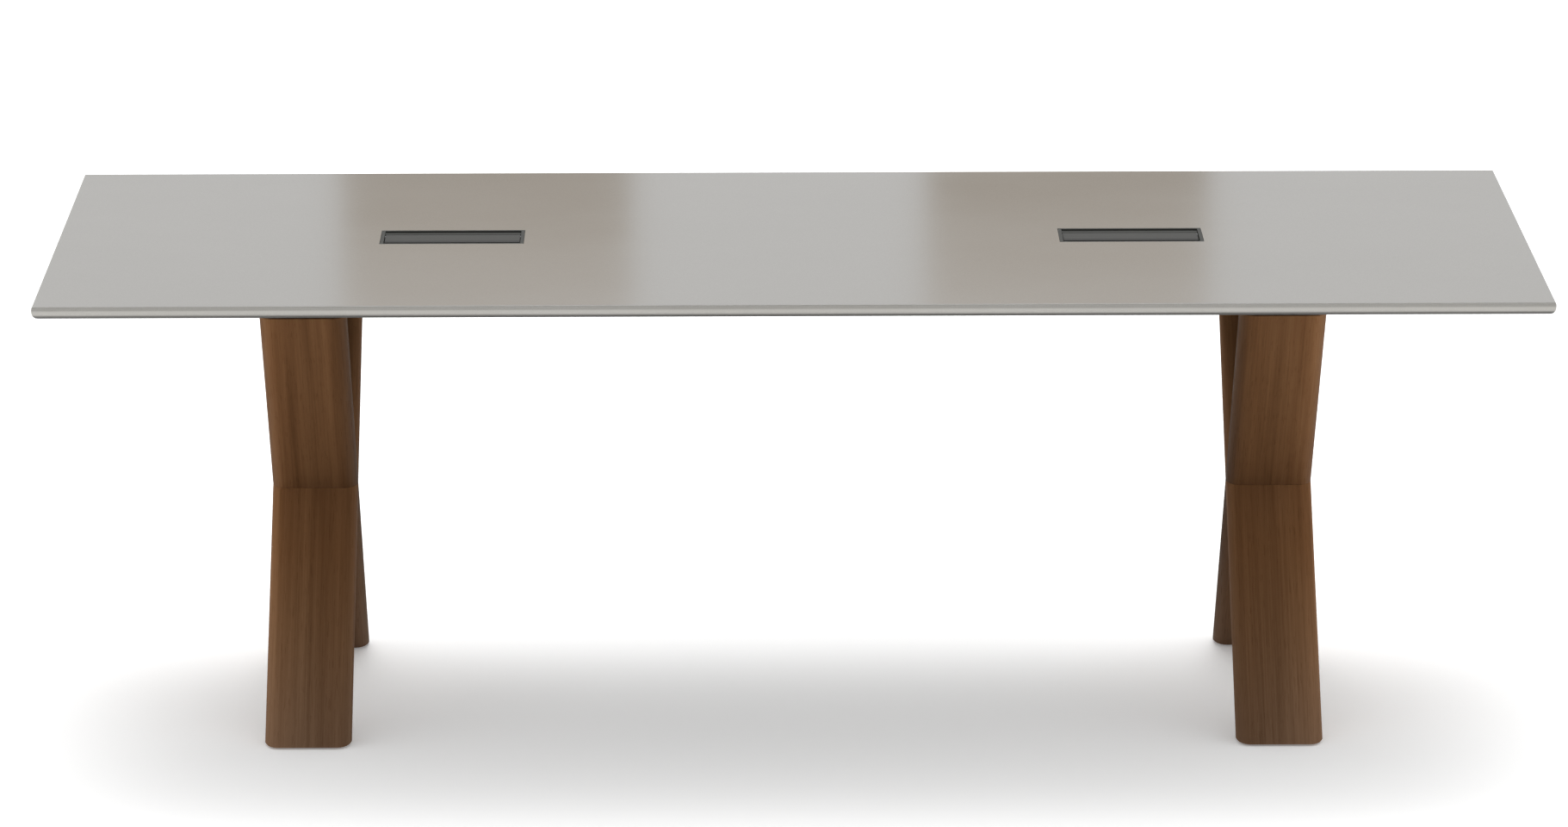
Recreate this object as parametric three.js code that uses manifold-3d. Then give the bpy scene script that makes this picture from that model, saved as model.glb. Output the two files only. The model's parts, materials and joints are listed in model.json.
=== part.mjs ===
// A conference table: a pale top with a rounded edge and two lidded cable ports, on two crossed-beam
// legs that a steel sub-frame ties together under the top.
// Millimetres, +Z up, the origin on the floor under the middle of the table, the front towards -Y.
import * as THREE from 'three';
import { mergeVertices } from 'three/addons/utils/BufferGeometryUtils.js';
import Module from 'manifold-3d';

const wasm = await Module();
wasm.setup();

// The whole table
const TABLE_LENGTH = 2400;
const TABLE_DEPTH = 1200;
const TABLE_HEIGHT = 765;

// The top and its edge: the nose is the widest line of the rounded edge
const TOP_THICKNESS = 20;
const TOP_CORNER_RADIUS = 4;
const TOP_LEAST_CORNER = 1;
const NOSE_DROP = 7;
const UPPER_ROUND_INSET = 2.6;
const LOWER_ROUND_INSET = 11.5;
const UPPER_ROUND_STEPS = 3;
const LOWER_ROUND_STEPS = 5;

// The legs: two beams cross in each, and a beam's level cut is a slab with elliptical ends
// A leg's setback runs from the end of the top to the middle of the leg
const LEG_SETBACK = 416;
const BEAM_WIDTH = 140;
const BEAM_FLAT_WIDTH = 96;
const BEAM_CUT_DEPTH = 90;
const BEAM_SPREAD = 356;
const BEAM_END_STEPS = 10;
const LAP_DOWEL_RADIUS = 8;
const LAP_DOWEL_LENGTH = 80;

// The steel sub-frame between the legs and the top
const SUBFRAME_HEIGHT = 38;
const BEARER_LENGTH = 780;
const BEARER_WEB_WIDTH = 80;
const BEARER_FLANGE_WIDTH = 25;
const BEARER_WALL = 3;
const RAIL_Y = 200;
const RAIL_SIZE = 30;
const RAIL_WALL = 3;
const RAIL_END_WALL = 5;
const RAIL_DROP = 1;

// Screws and bolts
const COACH_SCREW_RADIUS = 4;
const COACH_SCREW_DEPTH = 50;
const COACH_SCREW_SPACING = 50;
const COACH_HEAD_RADIUS = 7.5;
const COACH_HEAD_HEIGHT = 5.5;
const RAIL_BOLT_RADIUS = 5;
const RAIL_BOLT_REACH = 14;
const RAIL_BOLT_HEAD_RADIUS = 9;
const RAIL_BOLT_HEAD_HEIGHT = 7;
const TOP_SCREW_RADIUS = 2.5;
const TOP_SCREW_DEPTH = 12;
const TOP_SCREW_HEAD_RADIUS = 5;
const TOP_SCREW_HEAD_HEIGHT = 4;
// A top screw's setback runs from the end of its bearer to the screw
const TOP_SCREW_SETBACK = 90;
const TRAY_SCREW_RADIUS = 2;
const TRAY_SCREW_HEAD_RADIUS = 4;
const TRAY_SCREW_HEAD_HEIGHT = 3;

// The cable ports: a drop-in frame, a lid hinged along its rear edge and a tray below
// A port's setback runs from the end of the top to the middle of the port
const PORT_SETBACK = 645;
const PORT_LIP_LENGTH = 235;
const PORT_LIP_DEPTH = 122;
const PORT_LIP_WIDTH = 3;
const PORT_LIP_HEIGHT = 3;
const PORT_WALL = 3;
const PORT_FRAME_HEIGHT = 24;
const PORT_LEDGE_DEPTH = 16;
const PORT_LEDGE_HEIGHT = 5;
const PORT_LEDGE_DROP = 3;
const LID_DEPTH = 72;
const LID_THICKNESS = 4;
const LID_DROP = 2.5;
const LID_END_GAP = 1;
const LID_REAR_GAP = 2;
const LID_BARREL_RADIUS = 4.5;
const LID_REST_WIDTH = 6;
const LID_REST_HEIGHT = 4;
const LID_REST_LENGTH = 40;
const LID_REST_SETBACK = 6;
const HINGE_ROD_RADIUS = 2.5;
const TRAY_LENGTH = 300;
const TRAY_INSIDE_DEPTH = 130;
const TRAY_HEIGHT = 62;
const TRAY_FLANGE_WIDTH = 18;
const TRAY_WALL = 2;

// The levelling glides, screwed fully in
const PAD_RADIUS = 22;
const PAD_HEIGHT = 3;
const PAD_CHAMFER = 1;
const PAD_FLOOR = 1.2;
const STEM_RADIUS = 4;
const STEM_LENGTH = 30;
const SOCKET_RADIUS = 7;
const SOCKET_LENGTH = 25;
const STEM_OVERRUN = 3;

// Room between pieces that are cut to each other, and facets of a full round
const FIT_GAP = 0.3;
const ROUND_STEPS = 12;
const HEX_STEPS = 6;
const CORNER_STEPS = 3;
// How far a cutting tool runs past the face that it opens, and how far joined shapes sink together
const CUT_PAST = 1;
const JOIN_SINK = 0.5;

// Heights and places that follow from the sizes above
const LEG_CENTRE_X = TABLE_LENGTH / 2 - LEG_SETBACK;
const PORT_CENTRE_X = TABLE_LENGTH / 2 - PORT_SETBACK;
const TOP_UNDERSIDE = TABLE_HEIGHT - TOP_THICKNESS;
const BEAM_TOP = TOP_UNDERSIDE - SUBFRAME_HEIGHT;
const BEAM_BOTTOM = PAD_HEIGHT + FIT_GAP;
const WAIST_HEIGHT = (BEAM_TOP + BEAM_BOTTOM) / 2;
const BEAM_SLOPE = BEAM_SPREAD / (BEAM_TOP - WAIST_HEIGHT);
const BEARER_HALF_WEB = BEARER_WEB_WIDTH / 2;
const RAIL_TOP = TOP_UNDERSIDE - BEARER_WALL - RAIL_DROP;
const RAIL_CENTRE_Z = RAIL_TOP - RAIL_SIZE / 2;
const RAIL_HALF_LENGTH = LEG_CENTRE_X - BEARER_HALF_WEB;
// A vertical screw or stem sits midway in the slanted beam: half the slant's run over its own length
const COACH_SCREW_Y = BEAM_SPREAD - (COACH_SCREW_DEPTH * BEAM_SLOPE) / 2;
const TOP_SCREW_Y = BEARER_LENGTH / 2 - TOP_SCREW_SETBACK;
const GLIDE_HOLE_DEPTH = STEM_LENGTH + STEM_OVERRUN;
const GLIDE_Y = BEAM_SPREAD - (GLIDE_HOLE_DEPTH * BEAM_SLOPE) / 2;
const PORT_BODY_LENGTH = PORT_LIP_LENGTH - 2 * PORT_LIP_WIDTH;
const PORT_BODY_DEPTH = PORT_LIP_DEPTH - 2 * PORT_LIP_WIDTH;
const PORT_INSIDE_LENGTH = PORT_BODY_LENGTH - 2 * PORT_WALL;
const PORT_INSIDE_DEPTH = PORT_BODY_DEPTH - 2 * PORT_WALL;
const LEDGE_FRONT_Y = PORT_INSIDE_DEPTH / 2 - PORT_LEDGE_DEPTH;
const HINGE_Y = LEDGE_FRONT_Y - LID_REAR_GAP - LID_BARREL_RADIUS;
const HINGE_Z = TABLE_HEIGHT - LID_DROP - LID_BARREL_RADIUS;
const LID_FRONT_Y = HINGE_Y + LID_BARREL_RADIUS - LID_DEPTH;
const LID_TOP = TABLE_HEIGHT - LID_DROP;
const LID_REST_TOP = LID_TOP - LID_THICKNESS - FIT_GAP;

// The sides of the table and the rows of pieces along its depth
const SIDES = [
  { name: 'left', sign: -1 },
  { name: 'right', sign: 1 },
];
const ROWS = [
  { name: 'front', sign: -1 },
  { name: 'rear', sign: 1 },
];

// Finishes, one new material for each mesh
const FINISHES = {
  lacquer: { color: 0xb9b7b2, roughness: 0.3, metalness: 0 },
  walnut: { color: 0x5f4430, roughness: 0.5, metalness: 0 },
  beech: { color: 0xc49a6c, roughness: 0.7, metalness: 0 },
  dark_aluminium: { color: 0x4b4d46, roughness: 0.5, metalness: 0.6 },
  satin_aluminium: { color: 0x66665f, roughness: 0.45, metalness: 0.6 },
  black_steel: { color: 0x26272a, roughness: 0.6, metalness: 0.4 },
  zinc_steel: { color: 0xa9acb0, roughness: 0.35, metalness: 0.9 },
  brass: { color: 0xb08d4a, roughness: 0.4, metalness: 0.9 },
  nylon: { color: 0x1d1c1b, roughness: 0.7, metalness: 0 },
};

const table = new THREE.Group();
table.name = 'conference_table';

function addPiece(name, geometry, finish) {
  const mesh = new THREE.Mesh(geometry, new THREE.MeshStandardMaterial(FINISHES[finish]));
  mesh.name = name;
  table.add(mesh);
}

// Closed meshes as solids for joining and cutting
function solidOf(geometry) {
  const bare = geometry.clone();
  bare.deleteAttribute('normal');
  bare.deleteAttribute('uv');
  const merged = mergeVertices(bare);
  return new wasm.Manifold(new wasm.Mesh({
    numProp: 3,
    vertProperties: new Float32Array(merged.attributes.position.array),
    triVerts: new Uint32Array(merged.index.array),
  }));
}

function geometryOf(solid) {
  const mesh = solid.getMesh();
  const geometry = new THREE.BufferGeometry();
  geometry.setAttribute('position', new THREE.BufferAttribute(new Float32Array(mesh.vertProperties), 3));
  geometry.setIndex(new THREE.BufferAttribute(new Uint32Array(mesh.triVerts), 1));
  geometry.computeVertexNormals();
  return geometry;
}

function cut(geometry, tools) {
  return geometryOf(tools.reduce((solid, tool) => solid.subtract(solidOf(tool)), solidOf(geometry)));
}

function join(geometries) {
  const [first, ...rest] = geometries.map(solidOf);
  return geometryOf(rest.reduce((solid, other) => solid.add(other), first));
}

function overlapOf(one, other) {
  return geometryOf(solidOf(one).intersect(solidOf(other)));
}

// A block between two corners
function block(low, high) {
  const size = high.map((value, i) => value - low[i]);
  const geometry = new THREE.BoxGeometry(...size);
  return geometry.translate(...low.map((value, i) => value + size[i] / 2));
}

// A round or hexagonal bar that stands on z = low at (x, y)
function upright(radius, low, high, x, y, steps = ROUND_STEPS) {
  const geometry = new THREE.CylinderGeometry(radius, radius, high - low, steps);
  geometry.rotateX(Math.PI / 2);
  return geometry.translate(x, y, (low + high) / 2);
}

// A round or hexagonal bar along X from x = low to x = high
function lengthwise(radius, low, high, y, z, steps = ROUND_STEPS) {
  const geometry = new THREE.CylinderGeometry(radius, radius, high - low, steps);
  geometry.rotateZ(Math.PI / 2);
  return geometry.translate((low + high) / 2, y, z);
}

// A flat profile, as [across, up] points, carried along X or Y about the origin
function profileAlong(axis, points, length) {
  const shape = new THREE.Shape(points.map(([across, up]) => new THREE.Vector2(across, up)));
  const geometry = new THREE.ExtrudeGeometry(shape, { depth: length, bevelEnabled: false });
  geometry.translate(0, 0, -length / 2);
  const up = new THREE.Vector3(0, 0, 1);
  const across = axis === 'x' ? new THREE.Vector3(0, 1, 0) : new THREE.Vector3(1, 0, 0);
  const along = new THREE.Vector3().crossVectors(across, up);
  return geometry.applyMatrix4(new THREE.Matrix4().makeBasis(across, up, along));
}

// A body through level outlines of equal point counts, each { points, z }, from the lowest up
function loft(levels) {
  const count = levels[0].points.length;
  const positions = levels.flatMap(({ points, z }) => points.flatMap(([x, y]) => [x, y, z]));
  const index = [];
  for (let level = 0; level + 1 < levels.length; level += 1) {
    for (let i = 0; i < count; i += 1) {
      const here = level * count + i;
      const next = level * count + ((i + 1) % count);
      index.push(here, next, next + count, here, next + count, here + count);
    }
  }
  const last = (levels.length - 1) * count;
  for (let i = 1; i + 1 < count; i += 1) {
    index.push(0, i + 1, i, last, last + i, last + i + 1);
  }
  const geometry = new THREE.BufferGeometry();
  geometry.setAttribute('position', new THREE.Float32BufferAttribute(positions, 3));
  geometry.setIndex(index);
  geometry.computeVertexNormals();
  return geometry;
}

// Points of an elliptical arc about (x, y), from one angle to another
function arc(x, y, radiusX, radiusY, from, to, steps) {
  return Array.from({ length: steps + 1 }, (_, i) => {
    const angle = from + ((to - from) * i) / steps;
    return [x + radiusX * Math.cos(angle), y + radiusY * Math.sin(angle)];
  });
}

// A rectangle with rounded corners, anticlockwise
function roundedRectangle(length, depth, radius) {
  const x = length / 2 - radius;
  const y = depth / 2 - radius;
  const corners = [[x, y], [-x, y], [-x, -y], [x, -y]];
  const quarter = Math.PI / 2;
  return corners.flatMap(([cx, cy], i) => (
    arc(cx, cy, radius, radius, i * quarter, (i + 1) * quarter, CORNER_STEPS)));
}

// The top: two quarter ellipses round its edge, above and below the nose
function topLevel(inset, z) {
  const radius = Math.max(TOP_CORNER_RADIUS - inset, TOP_LEAST_CORNER);
  return { points: roundedRectangle(TABLE_LENGTH - 2 * inset, TABLE_DEPTH - 2 * inset, radius), z };
}

function roundedTop() {
  const noseZ = TABLE_HEIGHT - NOSE_DROP;
  const lower = Array.from({ length: LOWER_ROUND_STEPS + 1 }, (_, i) => {
    const angle = (Math.PI / 2) * (1 - i / LOWER_ROUND_STEPS);
    const drop = (noseZ - TOP_UNDERSIDE) * Math.sin(angle);
    return topLevel(LOWER_ROUND_INSET * (1 - Math.cos(angle)), noseZ - drop);
  });
  const upper = Array.from({ length: UPPER_ROUND_STEPS }, (_, i) => {
    const angle = (Math.PI / 2) * ((i + 1) / UPPER_ROUND_STEPS);
    return topLevel(UPPER_ROUND_INSET * (1 - Math.cos(angle)), noseZ + NOSE_DROP * Math.sin(angle));
  });
  return loft([...lower, ...upper]);
}

// A beam's level cut: flat front and back, elliptical ends, grown all round by the given room
function beamCut(centreX, centreY, grow) {
  const halfFlat = BEAM_FLAT_WIDTH / 2;
  const radiusX = (BEAM_WIDTH - BEAM_FLAT_WIDTH) / 2 + grow;
  const radiusY = BEAM_CUT_DEPTH / 2 + grow * Math.hypot(1, BEAM_SLOPE);
  const quarter = Math.PI / 2;
  return [
    ...arc(centreX + halfFlat, centreY, radiusX, radiusY, -quarter, quarter, BEAM_END_STEPS),
    ...arc(centreX - halfFlat, centreY, radiusX, radiusY, quarter, 3 * quarter, BEAM_END_STEPS),
  ];
}

// A whole slanted beam, whose foot stands at the front (-1) or the rear (+1)
function slantedBeam(centreX, footSign, grow) {
  return loft([
    { points: beamCut(centreX, footSign * BEAM_SPREAD, grow), z: BEAM_BOTTOM },
    { points: beamCut(centreX, -footSign * BEAM_SPREAD, grow), z: BEAM_TOP },
  ]);
}

// Half of the leg's space, from the lap plane to beyond the leg, towards -X (-1) or +X (+1)
function halfSpace(planeX, sign) {
  const far = planeX + sign * BEAM_WIDTH;
  const reachY = BEAM_SPREAD + BEAM_CUT_DEPTH;
  return block(
    [Math.min(planeX, far), -reachY, BEAM_BOTTOM - CUT_PAST],
    [Math.max(planeX, far), reachY, BEAM_TOP + CUT_PAST],
  );
}

function coachScrewPlaces(centreX, rowSign) {
  return [-1, 1].map((sign) => [centreX + (sign * COACH_SCREW_SPACING) / 2, rowSign * COACH_SCREW_Y]);
}

function addLeg({ name, sign }) {
  const centreX = sign * LEG_CENTRE_X;
  // In the crossed lap the front-footed beam keeps its outer half and the other its inner half
  const halves = [
    { row: ROWS[0], lostHalf: halfSpace(centreX, -sign) },
    { row: ROWS[1], lostHalf: halfSpace(centreX - sign * FIT_GAP, sign) },
  ];
  const dowelHalf = LAP_DOWEL_LENGTH / 2;
  const dowelBore = lengthwise(
    LAP_DOWEL_RADIUS + FIT_GAP, centreX - dowelHalf - FIT_GAP, centreX + dowelHalf + FIT_GAP, 0, WAIST_HEIGHT,
  );
  for (const { row, lostHalf } of halves) {
    const notch = overlapOf(slantedBeam(centreX, -row.sign, FIT_GAP), lostHalf);
    const glideY = row.sign * GLIDE_Y;
    const holes = [
      upright(SOCKET_RADIUS + FIT_GAP, BEAM_BOTTOM - CUT_PAST, BEAM_BOTTOM + SOCKET_LENGTH + FIT_GAP,
        centreX, glideY),
      upright(STEM_RADIUS + 2 * FIT_GAP, BEAM_BOTTOM, BEAM_BOTTOM + GLIDE_HOLE_DEPTH, centreX, glideY),
    ];
    for (const [x, y] of coachScrewPlaces(centreX, -row.sign)) {
      holes.push(upright(COACH_SCREW_RADIUS + FIT_GAP, BEAM_TOP - COACH_SCREW_DEPTH - FIT_GAP,
        BEAM_TOP + CUT_PAST, x, y));
    }
    const beam = cut(slantedBeam(centreX, row.sign, 0), [notch, dowelBore, ...holes]);
    addPiece(`${name}_leg_${row.name}_foot_beam`, beam, 'walnut');
  }
  const dowel = lengthwise(LAP_DOWEL_RADIUS, centreX - dowelHalf, centreX + dowelHalf, 0, WAIST_HEIGHT);
  addPiece(`${name}_lap_dowel`, dowel, 'beech');
}

// A glide under each foot: a nylon pad on a threaded stem, in a socket let into the beam
function addGlide(side, row) {
  const x = side.sign * LEG_CENTRE_X;
  const y = row.sign * GLIDE_Y;
  const name = `${row.name}_${side.name}_glide`;
  const holeRadius = STEM_RADIUS + FIT_GAP;
  const padProfile = [
    [0, 0],
    [PAD_RADIUS, 0],
    [PAD_RADIUS, PAD_HEIGHT - PAD_CHAMFER],
    [PAD_RADIUS - PAD_CHAMFER, PAD_HEIGHT],
    [holeRadius, PAD_HEIGHT],
    [holeRadius, PAD_FLOOR],
    [0, PAD_FLOOR],
  ];
  addPiece(`${name}_pad`, turned(padProfile, x, y, 0), 'nylon');
  const stemBottom = PAD_FLOOR + FIT_GAP;
  addPiece(`${name}_stem`, upright(STEM_RADIUS, stemBottom, stemBottom + STEM_LENGTH, x, y), 'zinc_steel');
  const socketProfile = [
    [holeRadius, 0],
    [SOCKET_RADIUS, 0],
    [SOCKET_RADIUS, SOCKET_LENGTH],
    [holeRadius, SOCKET_LENGTH],
    [holeRadius, 0],
  ];
  addPiece(`${name}_socket`, turned(socketProfile, x, y, BEAM_BOTTOM), 'brass');
}

// A profile of [radius, height] points turned about an upright axis
function turned(profile, x, y, z) {
  const points = profile.map(([radius, height]) => new THREE.Vector2(radius, height));
  const geometry = new THREE.LatheGeometry(points, ROUND_STEPS);
  geometry.rotateX(Math.PI / 2);
  return geometry.translate(x, y, z);
}

function topScrewPlaces(centreX) {
  const flangeX = BEARER_HALF_WEB + BEARER_FLANGE_WIDTH / 2;
  return [-1, 1].flatMap((signX) => [-1, 1].map((signY) => [centreX + signX * flangeX, signY * TOP_SCREW_Y]));
}

// A folded hat section on each leg's beam ends: its web is screwed down, its flanges hold the top
function addBearer({ name, sign }) {
  const centreX = sign * LEG_CENTRE_X;
  const outer = BEARER_HALF_WEB;
  const inner = outer - BEARER_WALL;
  const flange = outer + BEARER_FLANGE_WIDTH;
  const flangeUnder = TOP_UNDERSIDE - BEARER_WALL;
  const section = [
    [-outer, BEAM_TOP], [outer, BEAM_TOP], [outer, flangeUnder], [flange, flangeUnder],
    [flange, TOP_UNDERSIDE], [inner, TOP_UNDERSIDE], [inner, BEAM_TOP + BEARER_WALL],
    [-inner, BEAM_TOP + BEARER_WALL], [-inner, TOP_UNDERSIDE], [-flange, TOP_UNDERSIDE],
    [-flange, flangeUnder], [-outer, flangeUnder],
  ];
  const holes = [];
  for (const row of ROWS) {
    for (const [x, y] of coachScrewPlaces(centreX, row.sign)) {
      holes.push(upright(COACH_SCREW_RADIUS + FIT_GAP, BEAM_TOP - CUT_PAST,
        BEAM_TOP + BEARER_WALL + CUT_PAST, x, y));
    }
    const wallX = centreX - sign * (outer - BEARER_WALL / 2);
    const reach = BEARER_WALL / 2 + CUT_PAST;
    holes.push(lengthwise(RAIL_BOLT_RADIUS + FIT_GAP, wallX - reach, wallX + reach,
      row.sign * RAIL_Y, RAIL_CENTRE_Z));
  }
  for (const [x, y] of topScrewPlaces(centreX)) {
    holes.push(upright(TOP_SCREW_RADIUS + FIT_GAP, flangeUnder - CUT_PAST, TOP_UNDERSIDE + CUT_PAST, x, y));
  }
  const bearer = profileAlong('y', section, BEARER_LENGTH).translate(centreX, 0, 0);
  addPiece(`${name}_bearer`, cut(bearer, holes), 'black_steel');
}

function addBearerScrews({ name, sign }) {
  const centreX = sign * LEG_CENTRE_X;
  const webTop = BEAM_TOP + BEARER_WALL;
  for (const row of ROWS) {
    coachScrewPlaces(centreX, row.sign).forEach(([x, y], i) => {
      const screw = join([
        upright(COACH_HEAD_RADIUS, webTop, webTop + COACH_HEAD_HEIGHT, x, y, HEX_STEPS),
        upright(COACH_SCREW_RADIUS, BEAM_TOP - COACH_SCREW_DEPTH, webTop + JOIN_SINK, x, y),
      ]);
      addPiece(`${name}_bearer_${row.name}_screw_${i + 1}`, screw, 'zinc_steel');
    });
  }
  const flangeUnder = TOP_UNDERSIDE - BEARER_WALL;
  topScrewPlaces(centreX).forEach(([x, y], i) => {
    const screw = join([
      upright(TOP_SCREW_HEAD_RADIUS, flangeUnder - TOP_SCREW_HEAD_HEIGHT, flangeUnder, x, y),
      upright(TOP_SCREW_RADIUS, flangeUnder - JOIN_SINK, TOP_UNDERSIDE + TOP_SCREW_DEPTH, x, y),
    ]);
    addPiece(`${name}_top_screw_${i + 1}`, screw, 'zinc_steel');
  });
}

// A square tube between the bearers, with a tapped plate across each end
function addRail(row) {
  const y = row.sign * RAIL_Y;
  const half = RAIL_SIZE / 2;
  const hollow = half - RAIL_WALL;
  const hollowEnd = RAIL_HALF_LENGTH - RAIL_END_WALL;
  const tube = block(
    [-RAIL_HALF_LENGTH, y - half, RAIL_CENTRE_Z - half],
    [RAIL_HALF_LENGTH, y + half, RAIL_CENTRE_Z + half],
  );
  const inside = block([-hollowEnd, y - hollow, RAIL_CENTRE_Z - hollow],
    [hollowEnd, y + hollow, RAIL_CENTRE_Z + hollow]);
  const boltBore = lengthwise(RAIL_BOLT_RADIUS + FIT_GAP, -RAIL_HALF_LENGTH - CUT_PAST,
    RAIL_HALF_LENGTH + CUT_PAST, y, RAIL_CENTRE_Z);
  addPiece(`${row.name}_rail`, cut(tube, [inside, boltBore]), 'black_steel');
  for (const { name, sign } of SIDES) {
    const seatX = sign * (RAIL_HALF_LENGTH + BEARER_WALL);
    const headX = seatX + sign * RAIL_BOLT_HEAD_HEIGHT;
    const tipX = seatX - sign * RAIL_BOLT_REACH;
    const shankX = seatX + sign * JOIN_SINK;
    const bolt = join([
      lengthwise(RAIL_BOLT_HEAD_RADIUS, Math.min(seatX, headX), Math.max(seatX, headX), y, RAIL_CENTRE_Z,
        HEX_STEPS),
      lengthwise(RAIL_BOLT_RADIUS, Math.min(tipX, shankX), Math.max(tipX, shankX), y, RAIL_CENTRE_Z),
    ]);
    addPiece(`${row.name}_rail_${name}_bolt`, bolt, 'zinc_steel');
  }
}

// A level block about a port's middle, between two heights
function portBlock(centreX, length, depth, low, high) {
  return block([centreX - length / 2, -depth / 2, low], [centreX + length / 2, depth / 2, high]);
}

// The stepped hole in the top that a port frame drops into
function portCuts(centreX) {
  const room = 2 * FIT_GAP;
  const stepZ = TABLE_HEIGHT - PORT_LIP_HEIGHT;
  return [
    portBlock(centreX, PORT_LIP_LENGTH + room, PORT_LIP_DEPTH + room, stepZ, TABLE_HEIGHT + CUT_PAST),
    portBlock(centreX, PORT_BODY_LENGTH + room, PORT_BODY_DEPTH + room, TOP_UNDERSIDE - CUT_PAST,
      TABLE_HEIGHT + CUT_PAST),
  ];
}

function addPortFrame(name, centreX) {
  const bottom = TABLE_HEIGHT - PORT_FRAME_HEIGHT;
  const halfInside = PORT_INSIDE_LENGTH / 2;
  const ledgeTop = TABLE_HEIGHT - PORT_LEDGE_DROP;
  const ring = cut(
    join([
      portBlock(centreX, PORT_LIP_LENGTH, PORT_LIP_DEPTH, TABLE_HEIGHT - PORT_LIP_HEIGHT, TABLE_HEIGHT),
      portBlock(centreX, PORT_BODY_LENGTH, PORT_BODY_DEPTH, bottom, TABLE_HEIGHT),
    ]),
    [portBlock(centreX, PORT_INSIDE_LENGTH, PORT_INSIDE_DEPTH, bottom - CUT_PAST, TABLE_HEIGHT + CUT_PAST)],
  );
  const ledge = block(
    [centreX - halfInside - JOIN_SINK, LEDGE_FRONT_Y, ledgeTop - PORT_LEDGE_HEIGHT],
    [centreX + halfInside + JOIN_SINK, PORT_INSIDE_DEPTH / 2 + JOIN_SINK, ledgeTop],
  );
  const restFront = LID_FRONT_Y + LID_REST_SETBACK;
  const rests = [-1, 1].map((sign) => {
    const wallX = centreX + sign * (halfInside + JOIN_SINK);
    const tipX = centreX + sign * (halfInside - LID_REST_WIDTH);
    return block(
      [Math.min(wallX, tipX), restFront, LID_REST_TOP - LID_REST_HEIGHT],
      [Math.max(wallX, tipX), restFront + LID_REST_LENGTH, LID_REST_TOP],
    );
  });
  const rodBore = lengthwise(HINGE_ROD_RADIUS + FIT_GAP, centreX - PORT_LIP_LENGTH / 2,
    centreX + PORT_LIP_LENGTH / 2, HINGE_Y, HINGE_Z);
  addPiece(`${name}_port_frame`, cut(join([ring, ledge, ...rests]), [rodBore]), 'dark_aluminium');
}

function addPortLid(name, centreX) {
  const halfLength = PORT_INSIDE_LENGTH / 2 - LID_END_GAP;
  const low = centreX - halfLength;
  const high = centreX + halfLength;
  const plate = block([low, LID_FRONT_Y, LID_TOP - LID_THICKNESS], [high, HINGE_Y, LID_TOP]);
  const barrel = lengthwise(LID_BARREL_RADIUS, low, high, HINGE_Y, HINGE_Z);
  const bore = lengthwise(HINGE_ROD_RADIUS + FIT_GAP, low - CUT_PAST, high + CUT_PAST, HINGE_Y, HINGE_Z);
  addPiece(`${name}_port_lid`, cut(join([plate, barrel]), [bore]), 'satin_aluminium');
  const rodHalf = PORT_BODY_LENGTH / 2;
  const rod = lengthwise(HINGE_ROD_RADIUS, centreX - rodHalf, centreX + rodHalf, HINGE_Y, HINGE_Z);
  addPiece(`${name}_port_hinge_rod`, rod, 'zinc_steel');
}

function trayScrewY() {
  return TRAY_INSIDE_DEPTH / 2 + TRAY_WALL + TRAY_FLANGE_WIDTH / 2;
}

// A folded channel under the port, open at both ends, hung from the top by its flanges
function addPortTray(name, centreX) {
  const inner = TRAY_INSIDE_DEPTH / 2;
  const outer = inner + TRAY_WALL;
  const flange = outer + TRAY_FLANGE_WIDTH;
  const floor = TOP_UNDERSIDE - TRAY_HEIGHT;
  const flangeUnder = TOP_UNDERSIDE - TRAY_WALL;
  const section = [
    [-outer, floor], [outer, floor], [outer, flangeUnder], [flange, flangeUnder],
    [flange, TOP_UNDERSIDE], [inner, TOP_UNDERSIDE], [inner, floor + TRAY_WALL],
    [-inner, floor + TRAY_WALL], [-inner, TOP_UNDERSIDE], [-flange, TOP_UNDERSIDE],
    [-flange, flangeUnder], [-outer, flangeUnder],
  ];
  const holes = ROWS.map((row) => upright(TRAY_SCREW_RADIUS + FIT_GAP, flangeUnder - CUT_PAST,
    TOP_UNDERSIDE + CUT_PAST, centreX, row.sign * trayScrewY()));
  const tray = profileAlong('x', section, TRAY_LENGTH).translate(centreX, 0, 0);
  addPiece(`${name}_port_tray`, cut(tray, holes), 'black_steel');
  for (const row of ROWS) {
    const y = row.sign * trayScrewY();
    const screw = join([
      upright(TRAY_SCREW_HEAD_RADIUS, flangeUnder - TRAY_SCREW_HEAD_HEIGHT, flangeUnder, centreX, y),
      upright(TRAY_SCREW_RADIUS, flangeUnder - JOIN_SINK, TOP_UNDERSIDE + TOP_SCREW_DEPTH, centreX, y),
    ]);
    addPiece(`${name}_tray_${row.name}_screw`, screw, 'zinc_steel');
  }
}

// The top with its stepped port holes and blind screw holes
function addTop() {
  const holeTop = TOP_UNDERSIDE + TOP_SCREW_DEPTH + FIT_GAP;
  const cuts = SIDES.flatMap(({ sign }) => {
    const portX = sign * PORT_CENTRE_X;
    const screwHoles = topScrewPlaces(sign * LEG_CENTRE_X).map(([x, y]) => (
      upright(TOP_SCREW_RADIUS + FIT_GAP, TOP_UNDERSIDE - CUT_PAST, holeTop, x, y)));
    const trayHoles = ROWS.map((row) => (
      upright(TRAY_SCREW_RADIUS + FIT_GAP, TOP_UNDERSIDE - CUT_PAST, holeTop, portX, row.sign * trayScrewY())));
    return [...portCuts(portX), ...screwHoles, ...trayHoles];
  });
  addPiece('table_top', cut(roundedTop(), cuts), 'lacquer');
}

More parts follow.
